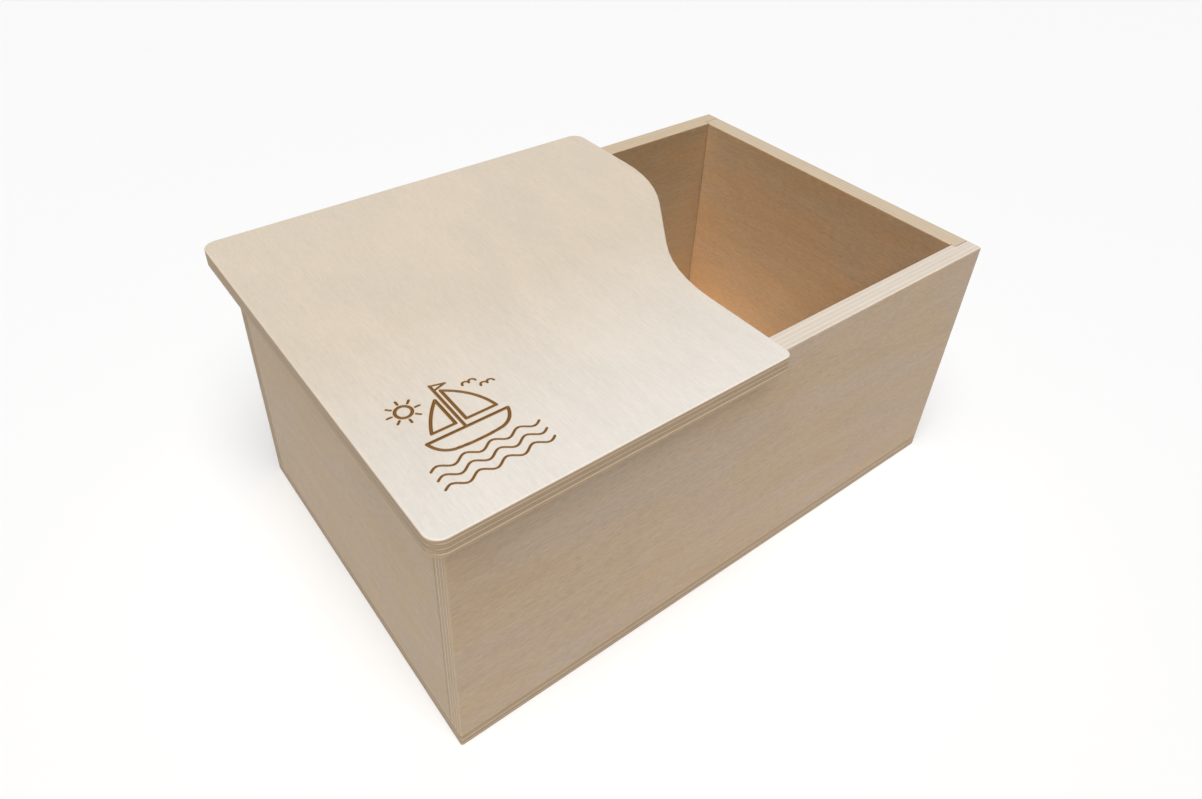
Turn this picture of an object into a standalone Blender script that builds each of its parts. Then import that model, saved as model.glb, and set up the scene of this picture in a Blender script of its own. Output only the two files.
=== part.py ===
"""Small plywood toy box with a partial lid that lifts off.

A box of rebated birch plywood walls stands on a full-size base panel, held by
countersunk screws from below.  The lid covers a little more than half of the
box, ends in an S-shaped front edge, overhangs the walls on three sides and is
located by four dowel pegs that drop into holes in the top edges of the walls.

Metres, +Z up.  The origin is the middle of the underside of the base, +X runs
along the box towards its open end and -Y is the front.
"""
import math

import bmesh
import bpy
from mathutils import Vector

# Driving dimensions of the box.
LENGTH = 0.350
DEPTH = 0.222
BOX_HEIGHT = 0.154
WALL_THICKNESS = 0.012
BASE_THICKNESS = 0.009
REBATE_DEPTH = 0.003
GAP = 0.0003

# Driving dimensions of the lid.
LID_THICKNESS = 0.010
LID_FRONT_OVERHANG = 0.012
LID_BACK_OVERHANG = 0.008
LID_LEFT_OVERHANG = 0.010
LID_LONG_SIDE = 0.246
LID_SHORT_SIDE = 0.1867
LID_CORNER_RADIUS = 0.0075
LID_TIP_RADIUS = 0.0045
CURVE_RADIUS = 0.084
CURVE_TURN = math.radians(36.5)

# Sanded edges.
EDGE_RADIUS = 0.0008
UPRIGHT_RADIUS = 0.0012
EDGE_SEGMENTS = 3

# Dowel pegs of the lid.
PEG_RADIUS = 0.003
PEG_SEAT = 0.006
PEG_REACH = 0.007
PEG_PLAY = 0.0004
PEG_NEAR_LEFT = 0.030
PEG_NEAR_CURVE = 0.035

# Countersunk screws of the base.
SCREW_RADIUS = 0.00175
SCREW_HEAD_RADIUS = 0.0035
SCREW_LENGTH = 0.030
SCREW_TIP = 0.005
SCREW_SUNK = 0.0005
SCREW_END_INSET = 0.025
SCREWS_PER_LONG_SIDE = 4
RECESS_WIDTH = 0.0009
RECESS_SPAN = 0.0036
RECESS_DEPTH = 0.0016

# Fineness of the faceted shapes.
ARC_STEP = math.radians(15.0)
CURVE_STEP = math.radians(6.0)
ROUND_SIDES = 16
MERGE = 0.00001

HALF_LENGTH = LENGTH / 2
HALF_DEPTH = DEPTH / 2
WALL_BOTTOM = BASE_THICKNESS + GAP
LID_BOTTOM = BOX_HEIGHT + GAP
LID_TOP = LID_BOTTOM + LID_THICKNESS
LID_LEFT = -HALF_LENGTH - LID_LEFT_OVERHANG
LID_FRONT = -HALF_DEPTH - LID_FRONT_OVERHANG
LID_BACK = HALF_DEPTH + LID_BACK_OVERHANG
WALL_MIDDLE = WALL_THICKNESS / 2


def clear_scene():
    """Remove every object, so that the file holds only this model."""
    for thing in list(bpy.data.objects):
        bpy.data.objects.remove(thing, do_unlink=True)


def make_material(name, colour, roughness, metallic=0.0):
    """Return a Principled material with one base colour."""
    material = bpy.data.materials.new(name)
    material.use_nodes = True
    shader = material.node_tree.nodes["Principled BSDF"]
    shader.inputs["Base Color"].default_value = (*colour, 1.0)
    shader.inputs["Roughness"].default_value = roughness
    shader.inputs["Metallic"].default_value = metallic
    return material


def add_object(name, mesh, material=None):
    """Link an object that shows the given mesh."""
    thing = bpy.data.objects.new(name, mesh)
    bpy.context.scene.collection.objects.link(thing)
    if material:
        thing.data.materials.append(material)
    return thing


def mark_as_cutter(thing):
    """Keep a cutter out of renders and show it as a wire."""
    thing.hide_render = True
    thing.display_type = "WIRE"
    return thing


def cut(thing, cutter):
    """Subtract the cutter from the object."""
    step = thing.modifiers.new("cut_" + cutter.name, "BOOLEAN")
    step.operation = "DIFFERENCE"
    step.solver = "EXACT"
    step.object = cutter


def arc(centre, radius, start, turn, step=ARC_STEP):
    """Points along an arc, counter-clockwise for a positive turn."""
    count = max(2, round(abs(turn) / step))
    angles = [start + turn * i / count for i in range(count + 1)]
    return [
        (centre[0] + radius * math.cos(a), centre[1] + radius * math.sin(a))
        for a in angles
    ]


def rounded_corner(corner, radius, start):
    """A convex quarter turn whose sharp corner would be at the given point."""
    middle = start + math.pi / 4
    reach = radius * math.sqrt(2)
    centre = (
        corner[0] - reach * math.cos(middle),
        corner[1] - reach * math.sin(middle),
    )
    return arc(centre, radius, start, math.pi / 2)


def is_level(edge, height):
    """Whether both ends of the edge lie at the given height."""
    return all(abs(v.co.z - height) < MERGE for v in edge.verts)


def make_board(name, outline, bottom, top, eased, material):
    """Extrude a counter-clockwise outline and ease the edges that eased() picks.

    eased(height, a, b) is asked about each level edge and its two ends.
    """
    bm = bmesh.new()
    ring = [bm.verts.new((x, y, bottom)) for x, y in outline]
    face = bm.faces.new(ring)
    grown = bmesh.ops.extrude_face_region(bm, geom=[face])
    raised = [v for v in grown["geom"] if isinstance(v, bmesh.types.BMVert)]
    bmesh.ops.translate(bm, verts=raised, vec=(0, 0, top - bottom))
    bmesh.ops.recalc_face_normals(bm, faces=bm.faces)
    picked = []
    for edge in bm.edges:
        for height in (bottom, top):
            ends = [v.co for v in edge.verts]
            if is_level(edge, height) and eased(height, *ends):
                picked.append(edge)
    bmesh.ops.bevel(
        bm,
        geom=picked,
        offset=EDGE_RADIUS,
        segments=EDGE_SEGMENTS,
        profile=0.5,
        affect="EDGES",
        clamp_overlap=False,
    )
    bmesh.ops.remove_doubles(bm, verts=bm.verts, dist=MERGE)
    bmesh.ops.recalc_face_normals(bm, faces=bm.faces)
    mesh = bpy.data.meshes.new(name)
    bm.to_mesh(mesh)
    bm.free()
    return add_object(name, mesh, material)


def turned_mesh(name, profile, sides=ROUND_SIDES):
    """Spin a profile of (radius, height) points, closed on the axis, about Z."""
    bm = bmesh.new()
    line = [bm.verts.new((r, 0, z)) for r, z in profile]
    edges = [bm.edges.new(pair) for pair in zip(line, line[1:])]
    bmesh.ops.spin(
        bm,
        geom=line + edges,
        cent=(0, 0, 0),
        axis=(0, 0, 1),
        steps=sides,
        angle=math.tau,
    )
    bmesh.ops.remove_doubles(bm, verts=bm.verts, dist=MERGE)
    bmesh.ops.recalc_face_normals(bm, faces=bm.faces)
    mesh = bpy.data.meshes.new(name)
    bm.to_mesh(mesh)
    bm.free()
    return mesh


def copies_as_one(name, mesh, places):
    """One object that holds a copy of the mesh at each place."""
    bm = bmesh.new()
    for place in places:
        first = len(bm.verts)
        bm.from_mesh(mesh)
        bm.verts.ensure_lookup_table()
        bmesh.ops.translate(bm, verts=bm.verts[first:], vec=place)
    joined = bpy.data.meshes.new(name)
    bm.to_mesh(joined)
    bm.free()
    return add_object(name, joined)


def on_rim(a, b):
    """Whether a level edge runs along the outer or the inner face of the box."""
    inner_x = HALF_LENGTH - WALL_THICKNESS
    inner_y = HALF_DEPTH - WALL_THICKNESS
    middle = (a + b) / 2
    outside = (
        abs(middle.x) > HALF_LENGTH - UPRIGHT_RADIUS
        and abs(middle.y) > HALF_DEPTH - UPRIGHT_RADIUS
    )
    on_side = any(
        abs(abs(a[i]) - face) < MERGE and abs(abs(b[i]) - face) < MERGE
        for i, face in (
            (0, HALF_LENGTH),
            (1, HALF_DEPTH),
            (0, inner_x),
            (1, inner_y),
        )
    )
    return outside or on_side


def eased_wall(height, a, b):
    """Walls are eased along the top, but not where they meet each other."""
    return height == BOX_HEIGHT and on_rim(a, b)


def long_wall_outline():
    """Plan of the front wall: full length, rebated at both inner corners."""
    tongue = HALF_DEPTH - WALL_THICKNESS + REBATE_DEPTH
    inner = HALF_DEPTH - WALL_THICKNESS
    shoulder = HALF_LENGTH - WALL_THICKNESS
    left = rounded_corner((-HALF_LENGTH, -HALF_DEPTH), UPRIGHT_RADIUS, math.pi)
    right = rounded_corner((HALF_LENGTH, -HALF_DEPTH), UPRIGHT_RADIUS, -math.pi / 2)
    back = [
        (HALF_LENGTH, -tongue),
        (shoulder, -tongue),
        (shoulder, -inner),
        (-shoulder, -inner),
        (-shoulder, -tongue),
        (-HALF_LENGTH, -tongue),
    ]
    return left + right + back


def end_wall_outline():
    """Plan of the right wall, which sits in the rebates of the long walls."""
    reach = HALF_DEPTH - WALL_THICKNESS + REBATE_DEPTH - GAP
    corner = HALF_DEPTH - WALL_THICKNESS - GAP
    outer = HALF_LENGTH
    inner = HALF_LENGTH - WALL_THICKNESS
    seat = inner + GAP
    return [
        (outer, -reach),
        (outer, reach),
        (seat, reach),
        (seat, corner),
        (inner, corner),
        (inner, -corner),
        (seat, -corner),
        (seat, -reach),
    ]


def turned_about(outline):
    """The same outline turned half way round about the origin."""
    return [(-x, -y) for x, y in outline]


def base_outline():
    """Plan of the base: the whole box, with its corners rounded."""
    x, y = HALF_LENGTH, HALF_DEPTH
    corners = [(x, -y), (x, y), (-x, y), (-x, -y)]
    points = []
    for i, corner in enumerate(corners):
        points += rounded_corner(corner, UPRIGHT_RADIUS, (i - 1) * math.pi / 2)
    return points


def curve_points(short_x, long_x):
    """The S-shaped edge, from the front going back.

    Two equal arcs, one hollow and one full, are joined by a straight stretch
    whose length makes up the rest of the sideways shift.
    """
    shift = long_x - short_x
    from_arcs = 2 * CURVE_RADIUS * (1 - math.cos(CURVE_TURN))
    straight = (shift - from_arcs) / math.sin(CURVE_TURN)
    run = 2 * CURVE_RADIUS * math.sin(CURVE_TURN) + straight * math.cos(CURVE_TURN)
    hollow = arc(
        (short_x + CURVE_RADIUS, -run / 2),
        CURVE_RADIUS,
        math.pi,
        -CURVE_TURN,
        CURVE_STEP,
    )
    full = arc(
        (long_x - CURVE_RADIUS, run / 2),
        CURVE_RADIUS,
        -CURVE_TURN,
        CURVE_TURN,
        CURVE_STEP,
    )
    return hollow + full


def lid_outline():
    """Plan of the lid: straight on three sides, S-shaped on the fourth."""
    short_x = LID_LEFT + LID_SHORT_SIDE
    long_x = LID_LEFT + LID_LONG_SIDE
    quarter = math.pi / 2
    return (
        rounded_corner((LID_LEFT, LID_FRONT), LID_CORNER_RADIUS, 2 * quarter)
        + rounded_corner((short_x, LID_FRONT), LID_TIP_RADIUS, -quarter)
        + curve_points(short_x, long_x)
        + rounded_corner((long_x, LID_BACK), LID_CORNER_RADIUS, 0.0)
        + rounded_corner((LID_LEFT, LID_BACK), LID_CORNER_RADIUS, quarter)
    )


def peg_places():
    """Axes of the four pegs, on the middle lines of the long walls."""
    line = HALF_DEPTH - WALL_MIDDLE
    left = -HALF_LENGTH + PEG_NEAR_LEFT
    front_x = LID_LEFT + LID_SHORT_SIDE - PEG_NEAR_CURVE
    back_x = LID_LEFT + LID_LONG_SIDE - PEG_NEAR_CURVE
    return [
        Vector((left, -line, 0)),
        Vector((front_x, -line, 0)),
        Vector((left, line, 0)),
        Vector((back_x, line, 0)),
    ]


def screw_places():
    """Axes of the base screws, on the middle lines of the four walls."""
    line = HALF_DEPTH - WALL_MIDDLE
    first = HALF_LENGTH - SCREW_END_INSET
    pitch = 2 * first / (SCREWS_PER_LONG_SIDE - 1)
    places = []
    for side in (-1, 1):
        for i in range(SCREWS_PER_LONG_SIDE):
            places.append(Vector((-first + i * pitch, side * line, 0)))
    for side in (-1, 1):
        places.append(Vector((side * (HALF_LENGTH - WALL_MIDDLE), 0, 0)))
    return places


def screw_profile(extra):
    """Countersunk screw, head at the bottom, grown all round by extra."""
    head = SCREW_HEAD_RADIUS + extra
    shank = SCREW_RADIUS + extra
    base = SCREW_SUNK - extra
    cone = SCREW_SUNK + SCREW_HEAD_RADIUS - SCREW_RADIUS
    tip = SCREW_SUNK + SCREW_LENGTH
    return [
        (0, base),
        (head, base),
        (head, SCREW_SUNK + extra),
        (shank, cone + extra),
        (shank, tip - SCREW_TIP),
        (0, tip + extra),
    ]


def clearance_profile():
    """Hole for a screw: the grown screw, opened down through the underside."""
    profile = screw_profile(GAP)
    below = SCREW_SUNK - 2 * EDGE_RADIUS
    return [(0, below), (profile[1][0], below)] + profile[2:]


def peg_profile(extra, reach):
    """A dowel peg about the lid's underside, with its lower rim eased."""
    radius = PEG_RADIUS + extra
    ease = EDGE_RADIUS / 2
    top = LID_BOTTOM + PEG_SEAT + extra
    bottom = BOX_HEIGHT - reach
    return [
        (0, bottom),
        (radius - ease, bottom),
        (radius, bottom + ease),
        (radius, top),
        (0, top),
    ]


def make_cross_cutter():
    """The cross-shaped driver recess, as one closed tapering star."""
    wide = RECESS_SPAN / 2
    narrow = RECESS_WIDTH / 2
    ring = []
    for i in range(4):
        turn = i * math.pi / 2
        for x, y in ((wide, -narrow), (wide, narrow), (narrow, narrow)):
            ring.append(
                (
                    x * math.cos(turn) - y * math.sin(turn),
                    x * math.sin(turn) + y * math.cos(turn),
                )
            )
    bm = bmesh.new()
    low = SCREW_SUNK - RECESS_DEPTH
    high = SCREW_SUNK + RECESS_DEPTH
    verts = [bm.verts.new((x, y, low)) for x, y in ring]
    grown = bmesh.ops.extrude_face_region(bm, geom=[bm.faces.new(verts)])
    raised = [v for v in grown["geom"] if isinstance(v, bmesh.types.BMVert)]
    bmesh.ops.translate(bm, verts=raised, vec=(0, 0, high - low))
    bmesh.ops.scale(bm, verts=raised, vec=(0.6, 0.6, 1.0))
    bmesh.ops.recalc_face_normals(bm, faces=bm.faces)
    mesh = bpy.data.meshes.new("driver_recess")
    bm.to_mesh(mesh)
    bm.free()
    return mark_as_cutter(add_object("driver_recess", mesh))


def make_walls(plywood):
    """The four walls, eased along their top edges."""
    long_wall = long_wall_outline()
    end_wall = end_wall_outline()
    outlines = {
        "front_wall": long_wall,
        "back_wall": turned_about(long_wall),
        "left_wall": turned_about(end_wall),
        "right_wall": end_wall,
    }
    return [
        make_board(name, outline, WALL_BOTTOM, BOX_HEIGHT, eased_wall, plywood)
        for name, outline in outlines.items()
    ]


def make_base(plywood):
    """The base panel, eased along its lower edges."""

    def eased(height, a, b):
        return height == 0.0

    outline = base_outline()
    return make_board("base_panel", outline, 0.0, BASE_THICKNESS, eased, plywood)


def make_lid(plywood):
    """The lid, eased along all its edges."""

    def eased(height, a, b):
        return True

    outline = lid_outline()
    return make_board("lid_panel", outline, LID_BOTTOM, LID_TOP, eased, plywood)


def make_pegs(beech):
    """Four pegs that share one mesh, each glued into the lid."""
    mesh = turned_mesh("peg", peg_profile(0.0, PEG_REACH))
    for number, place in enumerate(peg_places(), start=1):
        peg = add_object(f"lid_peg_{number}", mesh)
        peg.location = place
    mesh.materials.append(beech)


def make_screws(steel):
    """Ten screws that share one mesh, heads up into the underside."""
    blank = add_object("screw_blank", turned_mesh("screw", screw_profile(0.0)))
    cut(blank, make_cross_cutter())
    graph = bpy.context.evaluated_depsgraph_get()
    mesh = bpy.data.meshes.new_from_object(blank.evaluated_get(graph))
    bpy.data.objects.remove(blank, do_unlink=True)
    mesh.materials.clear()
    mesh.materials.append(steel)
    for number, place in enumerate(screw_places(), start=1):
        screw = add_object(f"base_screw_{number}", mesh)
        screw.location = place


def main():
    """Build the whole box."""
    clear_scene()
    plywood = make_material("birch_plywood", (0.74, 0.62, 0.48), 0.6)
    beech = make_material("beech_dowel", (0.70, 0.50, 0.33), 0.6)
    steel = make_material("zinc_plated_steel", (0.62, 0.60, 0.56), 0.35, 1.0)
    walls = make_walls(plywood)
    base = make_base(plywood)
    lid = make_lid(plywood)
    make_pegs(beech)
    make_screws(steel)
    screw_holes = mark_as_cutter(
        copies_as_one(
            "screw_holes",
            turned_mesh("screw_hole", clearance_profile()),
            screw_places(),
        )
    )
    peg_sockets = mark_as_cutter(
        copies_as_one(
            "peg_sockets",
            turned_mesh("peg_socket", peg_profile(PEG_PLAY, PEG_REACH + GAP)),
            peg_places(),
        )
    )
    for wall in walls:
        cut(wall, screw_holes)
    cut(base, screw_holes)
    for piece in (walls[0], walls[1], lid):
        cut(piece, peg_sockets)


main()
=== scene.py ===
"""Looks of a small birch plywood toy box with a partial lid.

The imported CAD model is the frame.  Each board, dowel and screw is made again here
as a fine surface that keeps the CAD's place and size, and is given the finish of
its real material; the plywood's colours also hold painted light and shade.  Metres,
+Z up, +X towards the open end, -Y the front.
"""
import math

import bpy
import numpy as np
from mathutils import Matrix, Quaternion, Vector
from mathutils.geometry import delaunay_2d_cdt


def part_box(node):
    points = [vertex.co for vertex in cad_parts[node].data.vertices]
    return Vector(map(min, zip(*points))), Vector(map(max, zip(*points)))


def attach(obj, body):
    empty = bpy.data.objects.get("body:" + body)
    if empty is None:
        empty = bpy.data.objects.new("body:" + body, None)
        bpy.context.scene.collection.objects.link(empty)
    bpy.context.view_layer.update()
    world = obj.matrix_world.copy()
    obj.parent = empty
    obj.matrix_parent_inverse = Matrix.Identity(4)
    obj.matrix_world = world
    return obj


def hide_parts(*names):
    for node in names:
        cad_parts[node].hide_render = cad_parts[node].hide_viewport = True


MM = 0.001
TURN = 2 * math.pi

# How the boards are worked.  EASE is the radius of a sanded rim, CRISP of one left
# sharp, and SANDING is how much a sanded rim varies round a board.
GAP = 0.3 * MM
WALL_THICKNESS = 12.0 * MM
REBATE = 3.0 * MM
EASE = 0.8 * MM
CRISP = 0.05 * MM
UPRIGHT_RADIUS = 1.2 * MM
SANDING = 0.10
SANDING_RIPPLES = (5, 9, 14, 23)

# How finely the boards are drawn.  SUPPORT is how far beyond a rim a row of points
# holds the shading of the flat next to it.
EASE_STEPS = 8
ARC_STEP = math.radians(6.0)
EDGE_STEP = 7.0 * MM
SUPPORT = 0.25 * MM
SHARP_ANGLE = math.radians(35.0)

# The lid: its corners, the length of its short side, and the arcs of its S-shaped edge.
LID_CORNER = 7.5 * MM
LID_TIP = 4.5 * MM
LID_SHORT_SIDE = 186.7 * MM
CURVE_RADIUS = 84.0 * MM
CURVE_TURN = math.radians(36.5)

# Drilled holes, and the play in them.
SOCKET_PLAY = 0.4 * MM
SEAT_PLAY = 0.1 * MM
SCREW_PLAY = 0.1 * MM
HOLE_RIM = 0.2 * MM
HOLE_SIDES = 32

# Fluted dowels.
PEG_COUNT = 4
FLUTES = 20
FLUTE_DEPTH = 0.22 * MM
FLUTE_STEPS = 6
DOWEL_CHAMFER = 0.7 * MM
CHAMFER_RINGS = 4
DOWEL_RINGS = 8

# Countersunk screws.  The thread's ridge is a share of its pitch on either side.
SCREW_COUNT = 10
SCREW_SIDES = 72
SCREW_RADIUS = 1.75 * MM
SCREW_CORE = 1.25 * MM
SCREW_TIP = 5.0 * MM
SCREW_BLUNTNESS = 0.02
SCREW_PITCH = 1.8 * MM
THREAD_START = 11.0 * MM
THREAD_STEP = 0.2 * MM
THREAD_RIDGE = 0.3
NECK = 1.0 * MM
HEAD_RINGS = 24
HEAD_BEVEL = 0.05 * MM
HEAD_EDGE = 0.15 * MM
RECESS_DEPTH = 1.5 * MM
RECESS_TAPER = 0.55
RECESS_ARM = 2.1 * MM
RECESS_WIDTH = 0.95 * MM
RECESS_SLOPE = 0.18 * MM

# The picture burnt into the lid.  The bed and the wall of a line are measured in its
# half width; UNBURNT stands for any point far from every line.
PICTURE_CENTRE = (-142.5 * MM, -76.0 * MM)
PICTURE_HALF = (27.5 * MM, 30.5 * MM)
PICTURE_CELL = 0.3 * MM
BURN_DEPTH = 0.45 * MM
BURN_BED = 0.5
BURN_WALL = 0.55
UNBURNT = 9.0
BOLD, LIGHT = 0.62, 0.45

# The colours of the scorch, by distance from the middle of a line over its width.
SCORCH = (
    (0.00, "#86602f"),
    (0.30, "#775226"),
    (0.42, "#5c3d18"),
    (0.50, "#6b4a21"),
    (0.56, "#b8925f"),
)

# Birch veneer: the glue line's half width, how far the pattern moves from one veneer
# to the next, how many contour lines the flame figure has, and how strong the marks
# are on an edge.
GLUE_LINE = 0.19 * MM
VENEER_SHIFT = (0.137, 0.061, 0.0)
FIGURE_LINES = 11.0
EDGE_CONTRAST = 0.3

# Marks in the veneer: length along the fibres and width across them in millimetres,
# then the noise's detail, roughness and distortion.  Birch pores are under a tenth of
# a millimetre wide, too fine to show, so fine and pores are drawn about 5 times wider.
VENEER_MARKS = {
    "streaks": (24.0, 1.2, 3.0, 0.65, 0.0),
    "fine": (7.0, 0.5, 2.0, 0.5, 0.0),
    "dashes": (4.5, 1.0, 2.0, 0.6, 0.0),
    "pores": (3.0, 0.55, 0.0, 0.5, 0.0),
    "clouds": (80.0, 34.0, 3.0, 0.5, 0.8),
    "figure": (150.0, 30.0, 2.0, 0.4, 0.6),
    "speckle": (30.0, 0.7, 2.0, 0.7, 0.0),
    "patches": (22.0, 16.0, 2.0, 0.5, 0.0),
}

# What a mark does to the tone: from one strength of the mark to another, the change
# of tone goes from the third number to the fourth.
MARK_TONES = {
    "streaks": (0.3, 0.7, -0.05, 0.05),
    "fine": (0.3, 0.7, -0.03, 0.03),
    "dashes": (0.3, 0.7, -0.07, 0.07),
    "bands": (0.0, 1.0, -0.02, 0.02),
    "pores": (0.66, 0.76, 0.0, -0.07),
}

# The wood of each board, with light and shade painted into its colours.  outside and
# inside are the colours of its two faces: the walls' outsides are a darker tan than the
# lid's top, partly other veneer and partly painted shade on the sides, and the insides
# are warmer, partly the sheet's other face and partly painted light bounced round inside
# the box.  edge is veneer seen along its fibres, end is end grain, and rim is the rounded
# rim seen from above, paler than edge as painted light from above, where rim_contrast of
# the veneers and the glue still shows.  tones are the veneers from the low side to the
# high side, contrast is the strength of the marks, and drift is how far the paler wood
# turns into the warmer one along the board instead of in clouds; on the lid it leaves the
# front paler, partly a painted sheen.
WALL = {
    "outside": ("#b6a18c", "#b2997a"),
    "inside": ("#dcbd98", "#dab486"),
    "edge": "#b8a285",
    "end": "#a88f70",
    "rim": "#d3bfa5",
    "rim_contrast": 0.5,
    "glue": "#4f3720",
    "tones": (1.0, 0.93, 1.02, 0.90, 1.0, 0.92, 1.03, 0.94, 1.0),
    "contrast": 1.25,
    "drift": 0.0,
}
# Board by board the colours also paint light and shade: the front wall's rim, edge and end
# are paler where light falls on them, the back wall's inside is darker for its shade, and the
# left wall's outside, the right wall's inside and the back and right rims are paler.
FRONT_WALL = WALL | {"rim": "#e8e0d6", "edge": "#d2bc9f", "end": "#b9a081"}
BACK_WALL = WALL | {"inside": ("#b19a7b", "#af906a"), "rim": "#dac7ad"}
LEFT_WALL = WALL | {"outside": ("#bca890", "#b8a080")}
RIGHT_WALL = WALL | {"inside": ("#ddbe98", "#dbb589"), "rim": "#dccbb4"}
BASE = WALL | {
    "edge": "#ab9577",
    "end": "#b9a388",
    "tones": (0.98, 1.04, 0.78, 1.10, 1.04, 0.78, 1.08),
}
# The lid's top is far paler than the walls' sides, partly another sheet and partly painted
# light from above; its drift leaves the front paler, partly a painted sheen.
LID = WALL | {
    "outside": ("#e4ddd4", "#d6c8b5"),
    "inside": ("#d8ccba", "#cfbda4"),
    "edge": "#baa386",
    "end": "#ab9273",
    "rim": "#e6d6c0",
    "tones": (1.08, 1.14, 0.94, 0.95, 0.94, 0.98, 1.02),
    "contrast": 0.45,
    "drift": 0.8,
}

# Studio lights: the direction each comes from, its width and its power.
LIGHTS = {
    "overhead_soft_box": ((-0.08, -0.05, 1.0), math.radians(50.0), 0.5),
    "front_soft_box": ((-0.27, -0.38, 0.95), math.radians(50.0), 3.3),
}
HORIZON_LIGHT = 0.15
SKY_LIGHT = 0.08
HORIZON_TOP = 0.35

# The floor, and the camera's place, aim, roll, lens and framing.
FLOOR_HALF = 6.0
FLOOR_STEPS = 12
FLOOR_DROP = 0.2 * MM
CAMERA_PLACE = (-0.26921, -0.30769, 0.41039)
CAMERA_AIM = (0.00549, 0.04062, 0.08)
CAMERA_ROLL = math.radians(2.04)
SENSOR_WIDTH = 36.0
LENS = 26.33
SHIFT = (0.0191, -0.0636)
NEAREST, FARTHEST = 0.01, 30.0


# ---------------------------------------------------------------- plans


def arc(centre, radius, start, turn):
    """Points on a circle, from the start angle through the turn, in even steps."""
    count = max(2, int(round(abs(turn) / ARC_STEP)))
    angle = start + turn * np.linspace(0.0, 1.0, count + 1)
    return np.stack(
        [centre[0] + radius * np.cos(angle), centre[1] + radius * np.sin(angle)], 1
    )


def corner(x, y, radius, start):
    """A quarter circle that rounds the convex corner at (x, y), counter-clockwise."""
    middle = start + math.pi / 4
    reach = radius * math.sqrt(2)
    centre = (x - reach * math.cos(middle), y - reach * math.sin(middle))
    return arc(centre, radius, start, math.pi / 2)


def divided(points, eased):
    """Cut each straight edge of a closed plan into even steps of about EDGE_STEP.

    eased holds one value for each edge, from its point to the next one.
    """
    following = np.roll(points, -1, axis=0)
    length = np.linalg.norm(following - points, axis=1)
    count = np.maximum(1, np.ceil(length / EDGE_STEP)).astype(int)
    owner = np.repeat(np.arange(len(points)), count)
    first = np.cumsum(count) - count
    share = (np.arange(len(owner)) - first[owner]) / count[owner]
    share = share[:, None]
    return points[owner] * (1 - share) + following[owner] * share, eased[owner]


def long_wall_plan(lo, hi, side):
    """Plan of a long wall: rounded outer corners and a rebate at each inner corner.

    side is -1 for the front wall and 1 for the back wall, which is the same plan
    turned half way round.  Returns the points and, for each edge, 1 where its rim
    is eased and 0 where it meets another board.
    """
    half = (hi.x - lo.x) / 2
    depth = max(abs(lo.y), abs(hi.y))
    tongue = depth - WALL_THICKNESS + REBATE
    inner = depth - WALL_THICKNESS
    shoulder = half - WALL_THICKNESS
    points = np.concatenate(
        [
            corner(-half, -depth, UPRIGHT_RADIUS, math.pi),
            corner(half, -depth, UPRIGHT_RADIUS, -math.pi / 2),
            [(half, -tongue), (shoulder, -tongue), (shoulder, -inner)],
            [(-shoulder, -inner), (-shoulder, -tongue), (-half, -tongue)],
        ]
    )
    eased = np.ones(len(points))
    eased[[-6, -5, -3, -2]] = 0
    return (points * -side, eased)


def end_wall_plan(lo, hi, side):
    """Plan of an end wall, which sits in the rebates of the long walls."""
    outer = max(abs(lo.x), abs(hi.x))
    reach = (hi.y - lo.y) / 2
    shoulder = reach - REBATE
    inner = outer - WALL_THICKNESS
    seat = inner + GAP
    points = np.array(
        [
            (outer, -reach),
            (outer, reach),
            (seat, reach),
            (seat, shoulder),
            (inner, shoulder),
            (inner, -shoulder),
            (seat, -shoulder),
            (seat, -reach),
        ]
    )
    eased = np.array([1, 0, 0, 0, 1, 0, 0, 0.0])
    return (points * side, eased)


def base_plan(lo, hi):
    """Plan of the base: a rectangle with rounded corners."""
    corners = [(hi.x, lo.y), (hi.x, hi.y), (lo.x, hi.y), (lo.x, lo.y)]
    points = np.concatenate(
        [
            corner(x, y, UPRIGHT_RADIUS, (i - 1) * math.pi / 2)
            for i, (x, y) in enumerate(corners)
        ]
    )
    return points, np.ones(len(points))


def lid_plan(lo, hi):
    """Plan of the lid: three straight sides, and an S of two equal arcs.

    The arcs turn through CURVE_TURN, one hollow and one full, and a straight
    stretch between them makes up the rest of the sideways shift.
    """
    short_x = lo.x + LID_SHORT_SIDE
    shift = hi.x - short_x
    from_arcs = 2 * CURVE_RADIUS * (1 - math.cos(CURVE_TURN))
    straight = (shift - from_arcs) / math.sin(CURVE_TURN)
    run = 2 * CURVE_RADIUS * math.sin(CURVE_TURN) + straight * math.cos(CURVE_TURN)
    quarter = math.pi / 2
    points = np.concatenate(
        [
            corner(lo.x, lo.y, LID_CORNER, 2 * quarter),
            corner(short_x, lo.y, LID_TIP, -quarter),
            arc((short_x + CURVE_RADIUS, -run / 2), CURVE_RADIUS, math.pi, -CURVE_TURN),
            arc((hi.x - CURVE_RADIUS, run / 2), CURVE_RADIUS, -CURVE_TURN, CURVE_TURN),
            corner(hi.x, hi.y, LID_CORNER, 0.0),
            corner(lo.x, hi.y, LID_CORNER, quarter),
        ]
    )
    return points, np.ones(len(points))


# ---------------------------------------------------------------- meshes


def inset_vectors(points, first, second):
    """How each point of a plan moves when its two edges move inwards.

    first and second are the distances for the edge before and the edge after the
    point.  The move m solves m . n1 = first and m . n2 = second for the edges'
    inward normals n1 and n2; where they're in line it is their mean.
    """
    after = np.roll(points, -1, axis=0) - points
    after = after / np.linalg.norm(after, axis=1)[:, None]
    n2 = np.stack([-after[:, 1], after[:, 0]], 1)
    n1 = np.roll(n2, 1, axis=0)
    c = np.sum(n1 * n2, axis=1)[:, None]
    first, second = first[:, None], second[:, None]
    in_line = (n1 + n2) * (first + second) / 2 / (1 + c)
    spread = np.maximum(1 - c * c, 1e-6)
    mitre = (n1 * (first - c * second) + n2 * (second - c * first)) / spread
    return np.where(np.abs(first - second) < 1e-9, in_line, mitre)


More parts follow.
